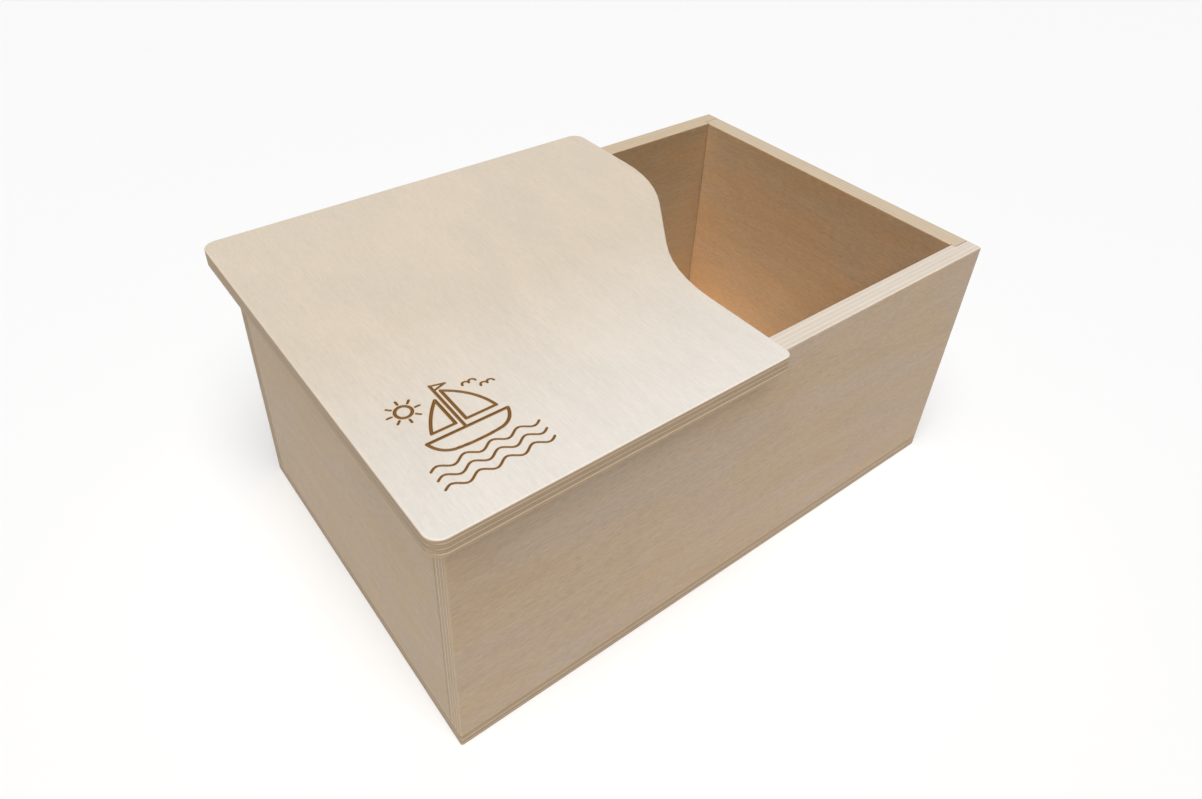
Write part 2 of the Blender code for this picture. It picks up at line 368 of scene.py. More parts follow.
class Surface:
    """Points and faces of one piece, gathered part by part until it is closed."""

    def __init__(self):
        self.points = []
        self.faces = []
        self.count = 0

    def add(self, points):
        """Take a block of points; returns their numbers in the same layout."""
        points = np.asarray(points, float)
        size = points.size // 3
        numbers = np.arange(self.count, self.count + size).reshape(points.shape[:-1])
        self.points.append(points.reshape(-1, 3))
        self.count += size
        return numbers

    def skin(self, numbers, around=True):
        """Quads between neighbouring rows; around closes each row on itself."""
        if around:
            numbers = np.concatenate([numbers, numbers[:, :1]], 1)
        quads = np.stack(
            [numbers[:-1, :-1], numbers[:-1, 1:], numbers[1:, 1:], numbers[1:, :-1]],
            -1,
        )
        self.faces += quads.reshape(-1, 4).tolist()

    def fan(self, ring, point, outward):
        """Triangles from a closed ring to one point."""
        centre = self.add([point])
        following = np.roll(ring, -1)
        middle = np.full(len(ring), centre[0])
        order = [ring, following, middle] if outward else [following, ring, middle]
        self.faces += np.stack(order, 1).tolist()

    def cap(self, loops, up):
        """Fill the flat area inside the first loop and outside the others."""
        points = np.concatenate(self.points)
        numbers = np.concatenate(loops)
        flat = points[numbers][:, :2]
        edges = []
        start = 0
        for loop in loops:
            ids = np.arange(start, start + len(loop))
            edges += np.stack([ids, np.roll(ids, -1)], 1).tolist()
            start += len(loop)
        # 1 keeps the triangles inside the loops; 1e-9 joins only points that coincide.
        made = delaunay_2d_cdt([Vector(p) for p in flat], edges, [], 1, 1e-9, True)
        origin = np.array([ids[0] for ids in made[3]])
        triangles = np.array(made[2])
        middle = np.array([tuple(p) for p in made[0]])[triangles].mean(1)
        keep = inside(middle, points[loops[0]])
        for loop in loops[1:]:
            keep &= ~inside(middle, points[loop])
        triangles = origin[triangles[keep]]
        a, b, c = (flat[triangles[:, i]] for i in range(3))
        area = np.cross(b - a, c - a)
        turned = (area > 0) != up
        triangles[turned] = triangles[turned][:, ::-1]
        self.faces += numbers[triangles].tolist()

    def hole(self, centre, profile, into_top):
        """A round hole from the first (radius, height) of a profile to its last.

        Returns the numbers of the first and last rings.
        """
        angle = TURN * np.arange(HOLE_SIDES) / HOLE_SIDES
        radius, height = np.array(profile, float).T
        rings = np.stack(
            [
                centre[0] + radius[:, None] * np.cos(angle),
                centre[1] + radius[:, None] * np.sin(angle),
                height[:, None] + 0 * angle,
            ],
            -1,
        )
        numbers = self.add(rings)
        self.skin(numbers if into_top else numbers[:, ::-1])
        return numbers[0], numbers[-1]

    def finish(self, name, material, slot, body, replaced, attribute=None):
        """Make the mesh object, shade it, and hand it to the frame."""
        mesh = bpy.data.meshes.new(name)
        mesh.from_pydata(np.concatenate(self.points).tolist(), [], self.faces)
        mesh.shade_smooth()
        mesh.set_sharp_from_angle(angle=SHARP_ANGLE)
        if attribute:
            layer = mesh.attributes.new(attribute[0], "FLOAT", "POINT")
            layer.data.foreach_set("value", attribute[1].astype(np.float32))
        mesh.materials.append(material)
        piece = bpy.data.objects.new(name, mesh)
        bpy.context.scene.collection.objects.link(piece)
        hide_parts(replaced)
        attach(piece, body)
        return piece


def inside(points, loop):
    """Which points lie inside a closed loop: an odd number of edges to their right."""
    x, y = points[:, :1], points[:, 1:2]
    ax, ay = loop[:, 0], loop[:, 1]
    bx, by = np.roll(ax, -1), np.roll(ay, -1)
    spans = (ay > y) != (by > y)
    rise = np.where(by == ay, 1.0, by - ay)
    crossing = ax + (y - ay) / rise * (bx - ax)
    return (np.sum(spans & (x < crossing), axis=1) % 2) == 1


def sanded(points, seed):
    """A slow change along a plan, about 1, as left by sanding edges by hand.

    It is 1 plus a sum of sines, each with a whole number of ripples round the board,
    whose sizes and starts differ with the board's seed.
    """
    step = np.linalg.norm(np.roll(points, -1, axis=0) - points, axis=1)
    along = np.cumsum(step) - step
    total = step.sum()
    waves = [
        math.sin(1.7 * seed + k) * np.sin(TURN * k * along / total + seed * k)
        for k in SANDING_RIPPLES
    ]
    return 1 + SANDING * sum(waves) / 2


def board_sides(surface, plan, low, high, low_ease, top_ease, seed):
    """The edge of a board: its plan carried up a profile with a rounded rim.

    Each rim is a quarter circle, so that at angle a its inset is r (1 - cos a)
    and its drop r (1 - sin a), with r the ease of the edge times its sanding.
    Returns the numbers of the lowest and the highest ring.
    """
    points, eased = divided(*plan)
    varied = sanded(points, seed)
    angle = np.linspace(0.0, math.pi / 2, EASE_STEPS + 1)
    even = np.full(len(points), SUPPORT)
    support = inset_vectors(points, even, even)
    rings = []
    for ease, level, sign in ((low_ease, low, 1), (top_ease, high, -1)):
        edge = np.maximum(eased * ease, CRISP)
        before, after = np.roll(edge, 1) * varied, edge * varied
        reach = inset_vectors(points, before, after)
        radius = ease * varied if ease > CRISP else np.full(len(points), CRISP)
        rim = [(points, level + sign * (radius + SUPPORT))]
        for a in angle:
            inset = points + reach * (1 - math.cos(a))
            rim.append((inset, level + sign * radius * (1 - math.sin(a))))
        rim.append((rim[-1][0] + support, rim[-1][1]))
        rings += rim[::-1] if sign > 0 else rim
    numbers = surface.add([np.column_stack(ring) for ring in rings])
    surface.skin(numbers)
    return numbers[0], numbers[-1]


# ---------------------------------------------------------------- materials


def linear(hex_colour):
    """An sRGB hex colour as linear RGBA."""
    code = hex_colour.lstrip("#")
    value = np.array([int(code[i : i + 2], 16) for i in (0, 2, 4)]) / 255
    low = value / 12.92
    high = ((value + 0.055) / 1.055) ** 2.4
    return (*np.where(value <= 0.04045, low, high).tolist(), 1.0)


def feed(tree, node, feeds):
    """Set or link each input of a node.  A node stands for its first output in use."""
    for key, value in feeds.items():
        if isinstance(value, bpy.types.Node):
            value = next(output for output in value.outputs if output.enabled)
        if isinstance(value, bpy.types.NodeSocket):
            tree.links.new(value, node.inputs[key])
        else:
            node.inputs[key].default_value = value


def add(tree, kind, feeds=None, **settings):
    """Add a node with its settings and its inputs' values and links.

    A MapRange node takes its input from 1..2 to 3..4, and is 0..1 to 0..1 unless told.
    A Mix node has its numbers at 2 and 3, its vectors at 4 and 5, its colours at 6 and 7.
    """
    node = tree.nodes.new("ShaderNode" + kind)
    for key, value in settings.items():
        setattr(node, key, value)
    feed(tree, node, feeds or {})
    return node


def new_material(name):
    """An empty node material; returns it, its node tree and its shader."""
    material = bpy.data.materials.new(name)
    material.use_nodes = True
    tree = material.node_tree
    return material, tree, tree.nodes["Principled BSDF"]


def veneer_layers(tree, place, stack, grain, low, ply, plies):
    """Which veneer a point lies in, where the glue is, and where its fibres run.

    The depth is the distance from the board's low side, counted in veneers and held
    half a veneer inside both faces, so that a face reads the veneer it is cut from.
    Returns the depth, 1 where the veneer lies crosswise and 0 where it doesn't, the
    glue's share, and coordinates along the fibres, across them and through the board.
    """
    across = 3 - stack - grain
    depth = {0: place.outputs[stack], 1: 1 / ply, 2: -low / ply}
    depth = add(tree, "Math", depth, operation="MULTIPLY_ADD")
    depth = add(tree, "Clamp", {0: depth, 1: 0.5, 2: plies - 0.5})
    number = add(tree, "Math", {0: depth}, operation="FLOOR")
    crosswise = add(tree, "Math", {0: number, 1: 2.0}, operation="MODULO")
    glue = add(tree, "Math", {0: depth}, operation="FRACT")
    glue = add(tree, "Math", {0: glue, 1: 0.5}, operation="SUBTRACT")
    glue = add(tree, "Math", {0: glue}, operation="ABSOLUTE")
    glue = {0: glue, 1: 0.5 - GLUE_LINE / ply, 2: 0.5}
    glue = add(tree, "MapRange", glue, interpolation_type="SMOOTHSTEP")
    along, aside, through = (place.outputs[axis] for axis in (grain, across, stack))
    even = add(tree, "CombineXYZ", {0: along, 1: aside, 2: through})
    odd = add(tree, "CombineXYZ", {0: aside, 1: along, 2: through})
    fibres = add(tree, "Mix", {0: crosswise, 4: even, 5: odd}, data_type="VECTOR")
    fibres = {0: number, 1: VENEER_SHIFT, 2: fibres}
    fibres = add(tree, "VectorMath", fibres, operation="MULTIPLY_ADD")
    return depth, crosswise, glue, fibres


def veneer_marks(tree, fibres):
    """Each of VENEER_MARKS as noise drawn out along the fibres, and the flame figure.

    The flame figure of rotary-cut veneer is the contour lines of a slow noise.
    """
    marks = {}
    for name, (length, width, detail, rough, distortion) in VENEER_MARKS.items():
        stretch = (1 / (length * MM), 1 / (width * MM), 1 / (width * MM))
        along = add(tree, "VectorMath", {0: fibres, 1: stretch}, operation="MULTIPLY")
        noise = {"Vector": along, "Scale": 1.0, "Detail": detail}
        noise |= {"Roughness": rough, "Distortion": distortion}
        marks[name] = add(tree, "TexNoise", noise)
    contours = {0: marks["figure"], 1: FIGURE_LINES}
    contours = add(tree, "Math", contours, operation="MULTIPLY")
    marks["bands"] = add(tree, "Math", {0: contours, 1: 1.0}, operation="PINGPONG")
    return marks


def veneer_tone(tree, marks, square, contrast):
    """1 plus small changes: the marks, fainter on edges than on faces, and clouds."""
    tone = 0.0
    for mark, (low, high, start, end) in MARK_TONES.items():
        change = add(tree, "MapRange", {0: marks[mark], 1: low, 2: high, 3: start, 4: end})
        tone = add(tree, "Math", {0: tone, 1: change}, operation="ADD")
    strength = add(tree, "MapRange", {0: square, 3: EDGE_CONTRAST, 4: contrast})
    clouds = add(tree, "MapRange", {0: marks["clouds"], 1: 0.3, 2: 0.7, 3: 0.965, 4: 1.035})
    return add(tree, "Math", {0: tone, 1: strength, 2: clouds}, operation="MULTIPLY_ADD")


def edge_colour(tree, depth, glue, ends, upward, marks, look):
    """Edges: the veneers' own tones, dark glue lines, and speckled end grain.

    ends is how far a point shows end grain, and upward how far it faces up: there
    the rounded rim takes the paler rim colour, a painted light from above, and its
    veneers and glue lines are drawn fainter.
    """
    plies = len(look["tones"])
    share = add(tree, "Math", {0: depth, 1: float(plies)}, operation="DIVIDE")
    ramp = add(tree, "ValToRGB", {0: share})
    steps = ramp.color_ramp
    steps.interpolation = "CONSTANT"
    steps.elements.remove(steps.elements[1])
    for i, value in enumerate(look["tones"]):
        step = steps.elements.new(i / plies) if i else steps.elements[0]
        step.color = (value, value, value, 1.0)
    speckle = add(tree, "MapRange", {0: marks["speckle"], 1: 0.35, 2: 0.7, 3: 1.06, 4: 0.88})
    speckle = add(tree, "Mix", {0: ends, 2: 1.0, 3: speckle}, data_type="FLOAT")
    # Where the edge faces up its veneers and glue lines are drawn fainter, beneath the
    # painted top light of the rim colour.
    fainter_facing_up = add(tree, "MapRange", {0: upward, 3: 1.0, 4: look["rim_contrast"]})
    veneer = add(tree, "Math", {0: ramp, 1: speckle}, operation="MULTIPLY")
    veneer = add(tree, "Math", {0: veneer, 1: 1.0}, operation="SUBTRACT")
    veneer = add(tree, "Math", {0: veneer, 1: fainter_facing_up, 2: 1.0}, operation="MULTIPLY_ADD")
    edge = {0: ends, 6: linear(look["edge"]), 7: linear(look["end"])}
    edge = add(tree, "Mix", edge, data_type="RGBA")
    edge = add(tree, "VectorMath", {0: edge, "Scale": veneer}, operation="SCALE")
    filled = add(tree, "MapRange", {0: marks["patches"], 1: 0.35, 2: 0.65, 3: 0.5})
    lines = add(tree, "Math", {0: glue, 1: filled}, operation="MULTIPLY")
    lines = add(tree, "Math", {0: lines, 1: fainter_facing_up}, operation="MULTIPLY")
    edge = add(tree, "Mix", {0: lines, 6: edge, 7: linear(look["glue"])}, data_type="RGBA")
    # The rim colour mixed in where the edge faces up is a painted light from above.
    rim = add(tree, "Mix", {0: 0.35, 6: linear(look["rim"]), 7: edge}, data_type="RGBA")
    return add(tree, "Mix", {0: upward, 6: edge, 7: rim}, data_type="RGBA")


def face_colour(tree, length, low, high, within, marks, look):
    """Faces: a paler and a warmer wood in slow clouds, and warmer colours inside the box,
    partly painted light bounced round in it.

    Where the look drifts, one turns into the other along the grain instead, from a
    twentieth of the board's length to half of it; on the lid this leaves the front
    paler, partly a painted sheen.
    """
    drift = look["drift"]
    run = high - low
    along = add(tree, "MapRange", {0: length, 1: low + 0.05 * run, 2: low + 0.5 * run})
    warm = add(tree, "Mix", {0: drift, 2: marks["clouds"], 3: along}, data_type="FLOAT")
    reach = 0.2 * (1 - drift) + 0.5 * drift
    warm = add(tree, "MapRange", {0: warm, 1: 0.5 - reach, 2: 0.5 + reach})
    faces = []
    for side in ("outside", "inside"):
        pale, dark = (linear(code) for code in look[side])
        faces.append(add(tree, "Mix", {0: warm, 6: pale, 7: dark}, data_type="RGBA"))
    return add(tree, "Mix", {0: within, 6: faces[0], 7: faces[1]}, data_type="RGBA")


def birch_plywood(node, stack, grain, inward, look, offset):
    """Birch plywood, sanded and left matt, cut from a solid pattern.

    Rotary-cut birch veneers 1.3 to 1.4 mm thick lie crosswise on each other, so the
    faces show fine pale grain one way, and the edges show thin bands: pale where a
    veneer runs along the edge, darker and speckled where its end grain comes out,
    with a hair-thin dark glue line between them.

    stack and grain are the axes across the veneers and along the face grain, and
    inward is the side of the stack axis on which the board faces into the box.
    """
    material, tree, shader = new_material("birch_plywood_" + node)
    lo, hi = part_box(node)
    plies = len(look["tones"])
    ply = (hi[stack] - lo[stack]) / plies
    coords = add(tree, "TexCoord")
    place = add(tree, "SeparateXYZ", {0: coords.outputs["Object"]})
    facing = add(tree, "SeparateXYZ", {0: coords.outputs["Normal"]})
    depth, crosswise, glue, fibres = veneer_layers(
        tree, place, stack, grain, lo[stack], ply, plies
    )
    fibres = add(tree, "VectorMath", {0: fibres, 1: offset}, operation="ADD")
    marks = veneer_marks(tree, fibres)

    # How squarely a point faces along the stack, into the box, down the fibres and up.
    square = add(tree, "Math", {0: facing.outputs[stack]}, operation="ABSOLUTE")
    square = add(tree, "MapRange", {0: square, 1: 0.35, 2: 0.9})
    # Faces into the box take the inside colours, partly painted light bounced inside the box.
    within = {0: facing.outputs[stack], 1: float(inward)}
    within = add(tree, "Math", within, operation="MULTIPLY")
    within = add(tree, "MapRange", {0: within, 2: 0.5})
    across = 3 - stack - grain
    ends = {0: crosswise, 2: facing.outputs[grain], 3: facing.outputs[across]}
    ends = add(tree, "Mix", ends, data_type="FLOAT")
    ends = add(tree, "Math", {0: ends}, operation="ABSOLUTE")
    ends = add(tree, "MapRange", {0: ends, 1: 0.35, 2: 0.95}, interpolation_type="SMOOTHSTEP")
    # Faces turned up take the paler rim colour, a painted light from above.
    upward = add(tree, "MapRange", {0: facing.outputs[2], 1: 0.3, 2: 0.9})

    edge = edge_colour(tree, depth, glue, ends, upward, marks, look)
    length = place.outputs[grain]
    face = face_colour(tree, length, lo[grain], hi[grain], within, marks, look)
    colour = add(tree, "Mix", {0: square, 6: edge, 7: face}, data_type="RGBA")
    tone = veneer_tone(tree, marks, square, look["contrast"])
    colour = add(tree, "VectorMath", {0: colour, "Scale": tone}, operation="SCALE")
    if node == "lid_panel":
        colour = scorched(tree, colour)
    rough = add(tree, "MapRange", {0: marks["streaks"], 1: 0.3, 2: 0.7, 3: 0.55, 4: 0.68})

    # Sanded fibres stand up a few hundredths of a millimetre, and glue lines lie low.
    relief = add(tree, "Math", {0: marks["fine"], 1: marks["dashes"]}, operation="ADD")
    relief = add(tree, "Math", {0: relief, 1: glue}, operation="SUBTRACT")
    bump = {"Strength": 0.5, "Distance": 0.05 * MM, "Height": relief}
    bump = add(tree, "Bump", bump)
    finish = {"Base Color": colour, "Roughness": rough, "IOR": 1.45, "Normal": bump}
    feed(tree, shader, finish)
    return material


def scorched(tree, colour):
    """Wood darkened by a laser: black-brown at a line's edges, brown in its bed.

    Reads the attribute "burn": the distance from a line over the line's half width.
    """
    burn = add(tree, "Attribute", attribute_name="burn").outputs["Fac"]
    ramp = add(tree, "ValToRGB", {0: add(tree, "MapRange", {0: burn, 2: 2.0})})
    steps = ramp.color_ramp
    for i, (position, code) in enumerate(SCORCH):
        step = steps.elements.new(position) if i > 1 else steps.elements[i]
        step.position = position
        step.color = linear(code)
    spread = add(tree, "MapRange", {0: burn, 1: 1.05, 2: 1.7, 3: 1.0, 4: 0.0})
    return add(tree, "Mix", {0: spread, 6: colour, 7: ramp}, data_type="RGBA")


def beech_dowel():
    """Steamed beech: warm pinkish tan with short dark flecks along the dowel."""
    material, tree, shader = new_material("beech_dowel")
    coords = add(tree, "TexCoord")
    across, along = 1 / (0.3 * MM), 1 / (2.0 * MM)
    flecks = {0: coords.outputs["Object"], 1: (across, across, along)}
    flecks = add(tree, "VectorMath", flecks, operation="MULTIPLY")
    flecks = add(tree, "TexNoise", {"Vector": flecks, "Scale": 1.0, "Detail": 1.0})
    shade = add(tree, "MapRange", {0: flecks, 1: 0.45, 2: 0.7})
    pale, dark = linear("#d3ab80"), linear("#a97c52")
    colour = add(tree, "Mix", {0: shade, 6: pale, 7: dark}, data_type="RGBA")
    feed(tree, shader, {"Base Color": colour, "Roughness": 0.62})
    return material


def zinc_plated_steel():
    """Bright zinc on steel: pale grey metal, its gloss broken by fine grains.

    The grains are drawn half a millimetre wide, coarser than real, so that they show.
    """
    material, tree, shader = new_material("zinc_plated_steel")
    coords = add(tree, "TexCoord")
    grains = {"Vector": coords.outputs["Object"], "Scale": 1 / (0.5 * MM), "Detail": 3.0}
    grains = add(tree, "TexNoise", grains)
    rough = add(tree, "MapRange", {0: grains, 1: 0.3, 2: 0.7, 3: 0.24, 4: 0.42})
    grey, blue = linear("#b4b8ba"), linear("#c6ccd2")
    colour = add(tree, "Mix", {0: grains, 6: grey, 7: blue}, data_type="RGBA")
    feed(tree, shader, {"Base Color": colour, "Roughness": rough, "Metallic": 1.0})
    return material


def matt_white_card():
    """Matt white card for the floor: even, and without any gloss."""
    material, tree, shader = new_material("matt_white_card")
    feed(tree, shader, {"Base Color": linear("#f1f1f1"), "Roughness": 0.9})
    return material


# ---------------------------------------------------------------- the picture


def line(*points):
    """Straight strokes from each of the given points to the next."""
    return np.array(points, float)


def bent(start, middle, end, count=24):
    """A quadratic curve: (1-t)^2 start + 2t(1-t) middle + t^2 end."""
    t = np.linspace(0.0, 1.0, count)[:, None]
    start, middle, end = (np.array(p, float) for p in (start, middle, end))
    return (1 - t) ** 2 * start + 2 * t * (1 - t) * middle + t**2 * end


def round_line(centre, radius, start=0.0, turn=TURN, count=48):
    """An arc of a circle: centre + radius (cos a, sin a), with a in even steps."""
    angle = start + turn * np.linspace(0.0, 1.0, count)
    return np.stack(
        [centre[0] + radius * np.cos(angle), centre[1] + radius * np.sin(angle)], 1
    )


def picture_strokes():
    """A sailing boat under a sun, on three lines of waves: (path, half width), in mm."""
    strokes = []
    x = np.linspace(-25.0, 25.0, 120)
    for height in (-27.0, -21.5, -16.0):
        wave = height + 1.5 * np.sin(TURN * x / 12.5)
        strokes.append((np.stack([x, wave], 1), LIGHT))
    hull = np.concatenate(
        [
            line((-19, -2), (19, -2)),
            bent((19, -2), (17, -9), (11, -10.5)),
            bent((11, -10.5), (0, -12), (-11, -10.5)),
            bent((-11, -10.5), (-17, -9), (-19, -2)),
        ]
    )
    main_sail = np.concatenate(
        [
            line((1.5, 2.0), (1.5, 23.0)),
            bent((1.5, 23.0), (13.5, 15.0), (16.0, 2.0)),
            line((16.0, 2.0), (1.5, 2.0)),
        ]
    )
    fore_sail = np.concatenate(
        [
            line((-3.5, 2.0), (-3.5, 19.0)),
            bent((-3.5, 19.0), (-11.0, 11.0), (-14.5, 2.0)),
            line((-14.5, 2.0), (-3.5, 2.0)),
        ]
    )
    strokes += [(path, BOLD) for path in (hull, main_sail, fore_sail)]
    mast, flag = line((-1, -2), (-1, 28)), line((-1, 28), (5.5, 26.2), (-1, 24.4))
    strokes += [(mast, BOLD), (flag, LIGHT)]
    sun, rays = np.array((-17.5, 20.0)), 8
    strokes.append((round_line(sun, 3.6), BOLD))
    for angle in TURN * np.arange(rays) / rays:
        ray = np.array([math.cos(angle), math.sin(angle)])
        strokes.append((line(sun + ray * 5.4, sun + ray * 7.4), LIGHT))
    for x, y in ((14.0, 20.5), (20.5, 16.0)):
        for wing in (x - 1.6, x + 1.6):
            strokes.append((round_line((wing, y), 1.6, math.pi, -math.pi, 16), LIGHT))
    return strokes


def burn_field(x, y):
    """Distance of each point from the nearest stroke, over the stroke's half width.

    On a stretch from a to b the nearest point is a + t (b - a), with t the share
    (p - a) . (b - a) / |b - a|^2 held between 0 and 1.
    """
    nearest = np.full(x.shape, UNBURNT)
    for path, half_width in picture_strokes():
        path = path * MM
        a, b = path[:-1], path[1:]
        margin = UNBURNT * half_width * MM
        near = (
            (x > path[:, 0].min() - margin)
            & (x < path[:, 0].max() + margin)
            & (y > path[:, 1].min() - margin)
            & (y < path[:, 1].max() + margin)
        )
        p = np.stack([x[near], y[near]], -1)[:, None, :]
        d = b - a
        t = np.sum((p - a) * d, -1) / np.maximum(np.sum(d * d, -1), 1e-18)
        gap = p - (a + np.clip(t, 0, 1)[..., None] * d)
        away = np.linalg.norm(gap, axis=-1).min(1) / (half_width * MM)
        nearest[near] = np.minimum(nearest[near], away)
    return nearest


def burnt_panel(surface, top):
    """A fine grid in the lid's top, sunk where the strokes run.

    The sink is BURN_DEPTH (1 - s), where s = t^2 (3 - 2 t) and t goes from 0 at the
    rim of the stroke's bed to 1 at the top of its wall.
    Returns the numbers of the grid and the burn value of each point.
    """
    columns = int(round(2 * PICTURE_HALF[0] / PICTURE_CELL)) + 1
    rows = int(round(2 * PICTURE_HALF[1] / PICTURE_CELL)) + 1
    x = np.linspace(-PICTURE_HALF[0], PICTURE_HALF[0], columns)
    y = np.linspace(-PICTURE_HALF[1], PICTURE_HALF[1], rows)
    x, y = np.meshgrid(x, y)
    burn = burn_field(x, y)
    t = np.clip((burn - BURN_BED) / BURN_WALL, 0, 1)
    s = t * t * (3 - 2 * t)
    z = top - BURN_DEPTH * (1 - s)
    block = np.stack([x + PICTURE_CENTRE[0], y + PICTURE_CENTRE[1], z], -1)
    numbers = surface.add(block)
    surface.skin(numbers, around=False)
    return numbers, burn


# ---------------------------------------------------------------- pieces


def blind_hole(surface, centre, mouth, bottom, radius, into_top):
    """A drilled hole with a slightly broken rim and a flat end; returns its mouth."""
    sign = -1 if into_top else 1
    profile = [
        (radius + HOLE_RIM, mouth),
        (radius, mouth + sign * HOLE_RIM),
        (radius, bottom),
    ]
    first, last = surface.hole(centre, profile, into_top)
    surface.fan(last, (*centre, bottom), into_top)
    return first


def upright(name, count):
    """For name_1 to name_count: middle in plan, radius, lowest and highest height."""
    found = []
    for number in range(1, count + 1):
        lo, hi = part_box(f"{name}_{number}")
        middle = (lo + hi) / 2
        found.append(((middle.x, middle.y), (hi.x - lo.x) / 2, lo.z, hi.z))
    return found


def make_wall(node, plan, material, seed):
    """A standing board with screw holes from below and peg sockets from above."""
    lo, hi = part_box(node)
    surface = Surface()
    low_ring, top_ring = board_sides(surface, plan, lo.z, hi.z, CRISP, EASE, seed)
    low_loops, top_loops = [low_ring], [top_ring]
    for centre, _, _, tip in upright("base_screw", SCREW_COUNT):
        if lo.x < centre[0] < hi.x and lo.y < centre[1] < hi.y:
            radius = SCREW_RADIUS + SCREW_PLAY
            bottom = tip + SCREW_PLAY
            low_loops.append(blind_hole(surface, centre, lo.z, bottom, radius, False))
    for centre, peg, bottom, _ in upright("lid_peg", PEG_COUNT):
        if lo.x < centre[0] < hi.x and lo.y < centre[1] < hi.y:
            radius = peg + SOCKET_PLAY
            socket = blind_hole(surface, centre, hi.z, bottom - GAP, radius, True)
            top_loops.append(socket)
    surface.cap(low_loops, up=False)
    surface.cap(top_loops, up=True)
    return surface.finish(node + "_board", material, "birch_plywood", "box", node)


def make_base(material, seed):
    """The base panel, with a countersunk hole for each screw."""
    lo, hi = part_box("base_panel")
    surface = Surface()
    plan = base_plan(lo, hi)
    low_ring, top_ring = board_sides(surface, plan, lo.z, hi.z, EASE, CRISP, seed)
    low_loops, top_loops = [low_ring], [top_ring]
    for centre, head, sunk, _ in upright("base_screw", SCREW_COUNT):
        shank = SCREW_RADIUS + SCREW_PLAY
        profile = [
            (head + 2 * SCREW_PLAY, lo.z),
            (head + SCREW_PLAY, sunk),
            (shank, sunk + head - SCREW_RADIUS),
            (shank, hi.z),
        ]
        first, last = surface.hole(centre, profile, False)
        low_loops.append(first)
        top_loops.append(last)
    surface.cap(low_loops, up=False)
    surface.cap(top_loops, up=True)
    return surface.finish("base_board", material, "birch_plywood", "box", "base_panel")


def make_lid(material, seed):
    """The lid, with the burnt picture in its top and peg seats in its underside."""
    lo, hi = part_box("lid_panel")
    surface = Surface()
    plan = lid_plan(lo, hi)
    low_ring, top_ring = board_sides(surface, plan, lo.z, hi.z, EASE, EASE, seed)
    low_loops = [low_ring]
    for centre, peg, _, tip in upright("lid_peg", PEG_COUNT):
        radius, bottom = peg + SEAT_PLAY, tip + SEAT_PLAY
        low_loops.append(blind_hole(surface, centre, lo.z, bottom, radius, False))
    before = surface.count
    grid, burn = burnt_panel(surface, hi.z)
    border = np.concatenate(
        [grid[0, :-1], grid[:-1, -1], grid[-1, :0:-1], grid[:0:-1, 0]]
    )
    surface.cap(low_loops, up=False)
    surface.cap([top_ring, border], up=True)
    values = np.full(surface.count, UNBURNT)
    values[before : before + burn.size] = burn.ravel()
    attribute = ("burn", values)
    return surface.finish(
        "lid_board", material, "birch_plywood", "lid", "lid_panel", attribute
    )


def make_dowels(material):
    """Fluted dowels, each a grid of angle against height.

    The radius is R - d (1 + cos(FLUTES a)) / 2, and R itself falls by the chamfer
    towards both ends, where the flutes fade out.
    """
    angle = TURN * np.arange(FLUTES * FLUTE_STEPS) / (FLUTES * FLUTE_STEPS)
    chamfer = DOWEL_CHAMFER * np.linspace(0.0, 1.0, CHAMFER_RINGS)
    pegs = upright("lid_peg", PEG_COUNT)
    for number, (centre, radius, low, high) in enumerate(pegs, start=1):
        surface = Surface()
        lowest, highest = low + 2 * DOWEL_CHAMFER, high - 2 * DOWEL_CHAMFER
        shaft = np.linspace(lowest, highest, DOWEL_RINGS)
        height = np.concatenate([low + chamfer, shaft, high - chamfer[::-1]])
        inside_end = np.minimum(height - low, high - height)
        full = radius - np.maximum(DOWEL_CHAMFER - inside_end, 0.0)
        share = np.clip(inside_end / DOWEL_CHAMFER - 0.5, 0.0, 1.0)
        flute = FLUTE_DEPTH * (1 + np.cos(FLUTES * angle)) / 2
        r = full[:, None] - share[:, None] * flute
        rings = np.stack(
            [
                centre[0] + r * np.cos(angle),
                centre[1] + r * np.sin(angle),
                height[:, None] + 0 * angle,
            ],
            -1,
        )
        numbers = surface.add(rings)
        surface.skin(numbers)
        surface.fan(numbers[0], (*centre, low), False)
        surface.fan(numbers[-1], (*centre, high), True)
        node = f"lid_peg_{number}"
        surface.finish(f"lid_dowel_{number}", material, "beech_dowel", "lid", node)


def cross_recess(x, y):
    """Depth of a cross recess: D (1 - T b / A) at the distance b out along an arm.

    D is the depth, A the arm's length and T its taper, and the walls slope from all
    of that depth to none over RECESS_SLOPE.
    """
    a = np.minimum(np.abs(x), np.abs(y))
    b = np.maximum(np.abs(x), np.abs(y))
    across = np.clip((RECESS_WIDTH / 2 - a) / RECESS_SLOPE, 0, 1)
    along = np.clip((RECESS_ARM - b) / RECESS_SLOPE, 0, 1)
    return RECESS_DEPTH * (1 - RECESS_TAPER * b / RECESS_ARM) * across * along


